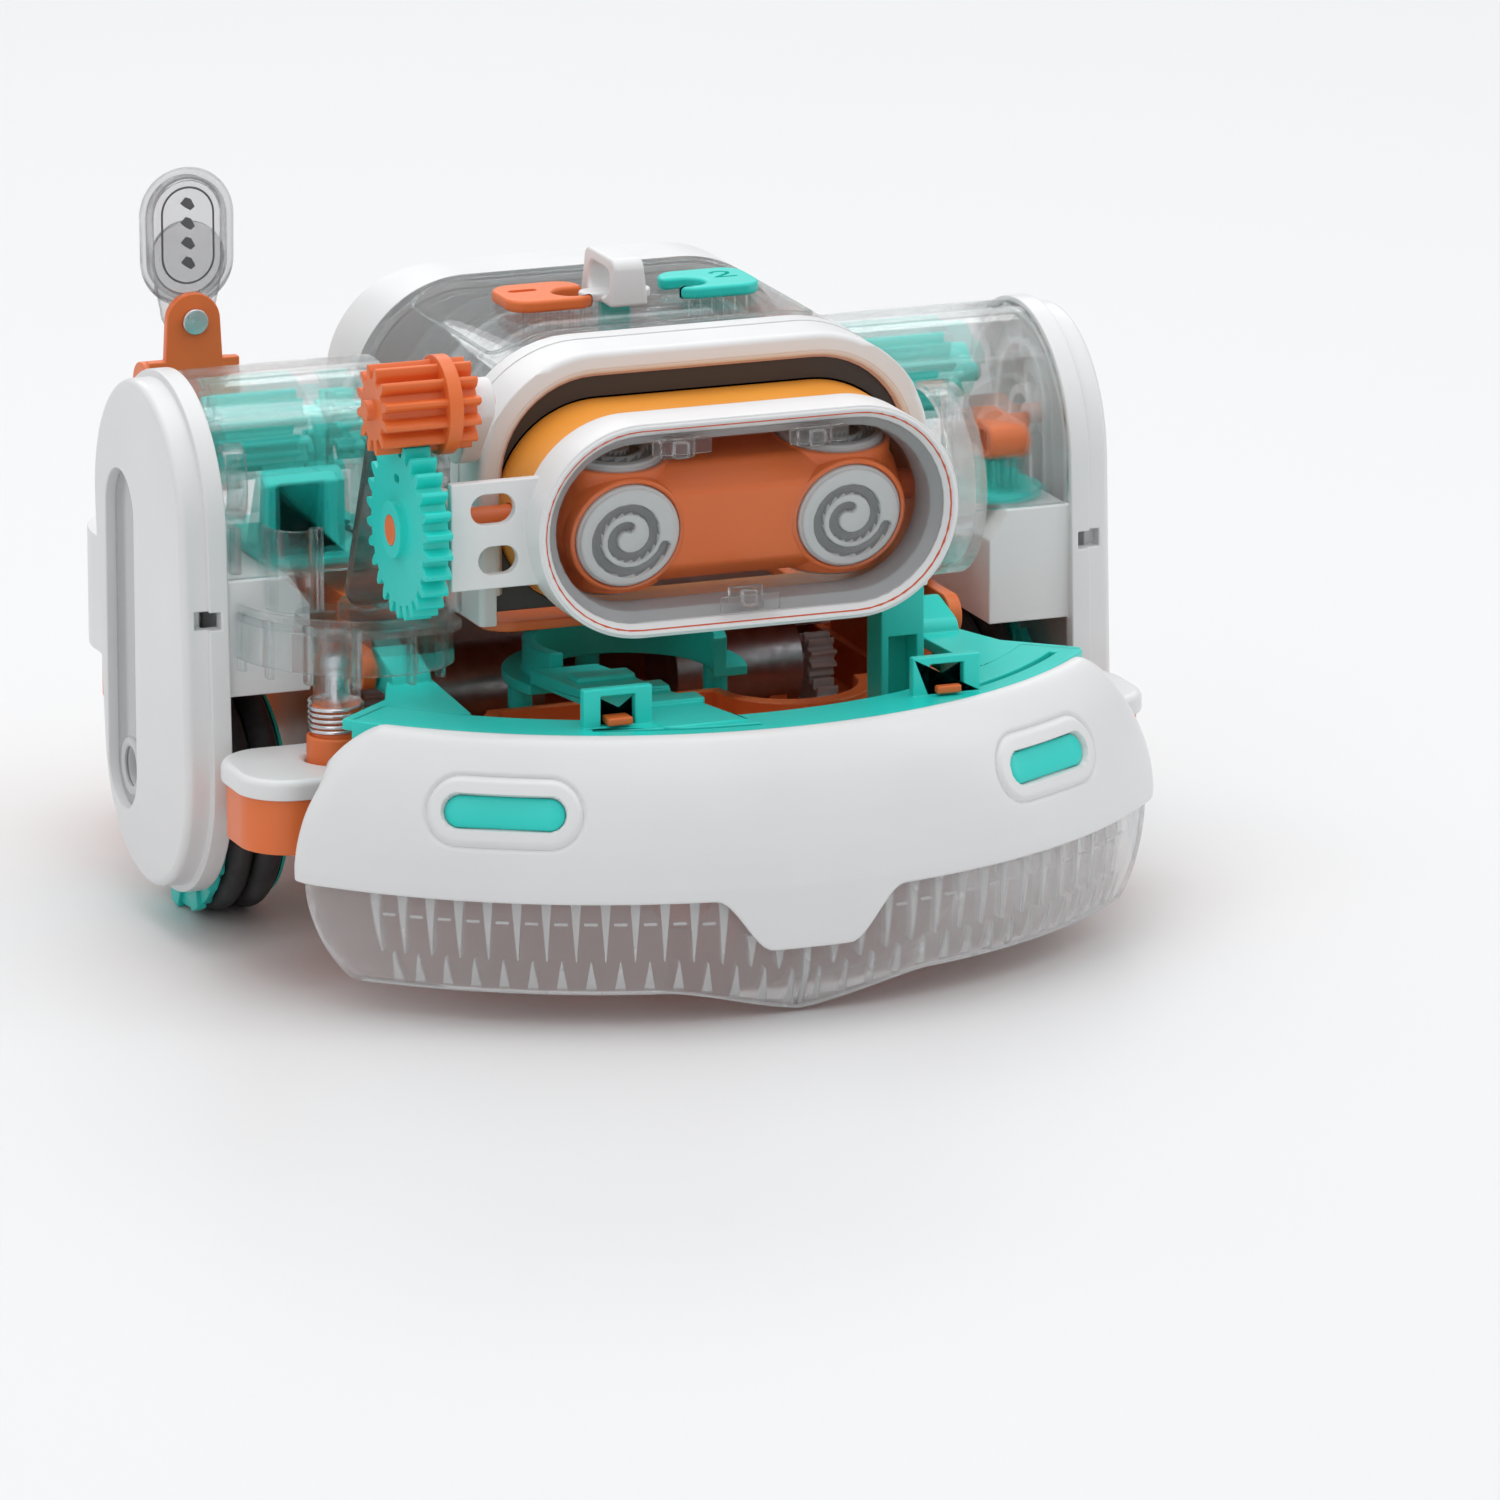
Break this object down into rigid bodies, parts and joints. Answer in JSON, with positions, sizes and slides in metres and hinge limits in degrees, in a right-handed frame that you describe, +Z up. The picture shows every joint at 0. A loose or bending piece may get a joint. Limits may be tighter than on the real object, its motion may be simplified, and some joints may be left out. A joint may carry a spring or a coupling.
{
  "type": "two-wheeled robot",
  "caption": "Two-wheeled table-edge robot kit with a spinning face drum, open gear pods, a drop-sensing front bumper, a mode slide and a swinging paddle.",
  "frame": {"origin": "on the floor at the middle of the robot's plan", "axes": "+Z up, +Y to the rear (the face looks along -Y), +X to the viewer's right when facing it"},
  "size_m": [0.194, 0.2008, 0.143],
  "materials": {
    "white_plastic": "satin moulded",
    "orange_plastic": "satin moulded",
    "teal_plastic": "satin moulded",
    "clear_plastic": "polished",
    "grey_plastic": "matt moulded",
    "dark_plastic": "matt",
    "tyre_rubber": "smooth rubber",
    "steel": "bright",
    "motor_metal": "satin"
  },
  "bodies": {
    "chassis": {"base_tray": "orange_plastic", "front_tray": "orange_plastic", "pad_covers": "white_plastic", "rear_shell": "white_plastic", "deck_plate": "orange_plastic", "side_plate_left": "white_plastic", "side_plate_right": "white_plastic", "pod_cover_left": "clear_plastic", "pod_cover_right": "clear_plastic", "gearbox_wall_left": "orange_plastic", "gearbox_wall_right": "orange_plastic", "hood_front_frame": "white_plastic", "hood_window": "clear_plastic", "hood_rear_frame": "white_plastic", "mode_pad_1": "orange_plastic", "mode_pad_2": "teal_plastic", "battery_box": "grey_plastic", "battery_cells": "steel", "drum_housing": "orange_plastic", "recess_band": "dark_plastic", "face_ring": "white_plastic", "face_lens": "clear_plastic", "lens_clips": "clear_plastic", "drum_end_cap": "clear_plastic", "drum_link": "teal_plastic", "cam_ring": "teal_plastic", "pod_scoop": "teal_plastic", "pod_stanchion": "clear_plastic", "motor_left": "motor_metal", "motor_right": "motor_metal", "hinge_pins": "steel", "bumper_spring": "steel", "paddle_bracket": "orange_plastic", "screws": "steel"},
    "wheel_left": {"wheel_hub_left": "teal_plastic", "tyres_left": "tyre_rubber", "axle_left": "steel", "axle_gear_left": "white_plastic"},
    "wheel_right": {"wheel_hub_right": "teal_plastic", "tyres_right": "tyre_rubber", "axle_right": "steel", "axle_gear_right": "white_plastic"},
    "motor_shaft_left": {"motor_pinion_left": "white_plastic"},
    "motor_shaft_right": {"motor_pinion_right": "white_plastic"},
    "face_drum": {"drum_body": "orange_plastic", "eye_discs": "grey_plastic", "drum_gear": "teal_plastic"},
    "idler_gear": {"double_gear": "orange_plastic"},
    "pod_gear_left": {"pod_pinion_left": "teal_plastic"},
    "pod_gear_right": {"pod_pinion_right": "teal_plastic"},
    "swirl": {"swirl_gear": "teal_plastic"},
    "lever": {"lift_lever": "orange_plastic"},
    "bumper": {"bumper_frame": "teal_plastic", "bumper_shell": "white_plastic", "bumper_skirt": "clear_plastic", "bumper_lights": "teal_plastic"},
    "knob": {"slide_knob": "white_plastic"},
    "paddle": {"paddle_blade": "clear_plastic"},
    "caster_fork": {"caster_yoke": "white_plastic"},
    "caster_roller": {"caster_wheel": "tyre_rubber"}
  },
  "joints": [
    {"name": "wheel_left_spin", "type": "hinge", "parent": "chassis", "child": "wheel_left", "pos_m": [-0.0786, 0.019, 0.024], "axis": [1, 0, 0], "continuous": true},
    {"name": "wheel_right_spin", "type": "hinge", "parent": "chassis", "child": "wheel_right", "pos_m": [0.0786, 0.019, 0.024], "axis": [1, 0, 0], "continuous": true},
    {"name": "motor_left_spin", "type": "hinge", "parent": "chassis", "child": "motor_shaft_left", "pos_m": [-0.047, 0.019, 0.0392], "axis": [1, 0, 0], "continuous": true},
    {"name": "motor_right_spin", "type": "hinge", "parent": "chassis", "child": "motor_shaft_right", "pos_m": [0.047, 0.019, 0.0392], "axis": [1, 0, 0], "continuous": true},
    {"name": "drum_spin", "type": "hinge", "parent": "chassis", "child": "face_drum", "pos_m": [0, -0.048, 0.0903], "axis": [1, 0, 0], "continuous": true},
    {"name": "idler_spin", "type": "hinge", "parent": "chassis", "child": "idler_gear", "pos_m": [-0.06, -0.048, 0.11405], "axis": [1, 0, 0], "continuous": true},
    {"name": "pod_left_spin", "type": "hinge", "parent": "chassis", "child": "pod_gear_left", "pos_m": [-0.07, 0.011, 0.0963], "axis": [1, 0, 0], "continuous": true},
    {"name": "pod_right_spin", "type": "hinge", "parent": "chassis", "child": "pod_gear_right", "pos_m": [0.06, 0.011, 0.0963], "axis": [1, 0, 0], "continuous": true},
    {"name": "swirl_spin", "type": "hinge", "parent": "chassis", "child": "swirl", "pos_m": [0.077, 0, 0.078], "axis": [0, 0, 1], "continuous": true},
    {"name": "lever_rock", "type": "hinge", "parent": "chassis", "child": "lever", "pos_m": [0.08, 0.009, 0.0862], "axis": [1, 0, 0], "range_deg": [-5, 0]},
    {"name": "bumper_drop", "type": "hinge", "parent": "chassis", "child": "bumper", "pos_m": [0, -0.017, 0.055], "axis": [1, 0, 0], "range_deg": [0, 3.5]},
    {"name": "mode_slide", "type": "slide", "parent": "chassis", "child": "knob", "axis": [1, 0, 0], "range_m": [0, 0.007]},
    {"name": "paddle_swing", "type": "hinge", "parent": "chassis", "child": "paddle", "pos_m": [-0.0753, 0.0445, 0.1128], "axis": [0, 1, 0], "range_deg": [-45, 45]},
    {"name": "caster_swivel", "type": "hinge", "parent": "chassis", "child": "caster_fork", "pos_m": [0, 0.073, 0.025], "axis": [0, 0, 1], "continuous": true},
    {"name": "caster_roll", "type": "hinge", "parent": "caster_fork", "child": "caster_roller", "pos_m": [0, 0.079, 0.008], "axis": [1, 0, 0], "continuous": true}
  ],
  "couplings": [
    {"joint": "motor_left_spin", "follows": "wheel_left_spin", "ratio": -2.8},
    {"joint": "motor_right_spin", "follows": "wheel_right_spin", "ratio": -2.8},
    {"joint": "idler_spin", "follows": "drum_spin", "ratio": -2.1667}
  ]
}
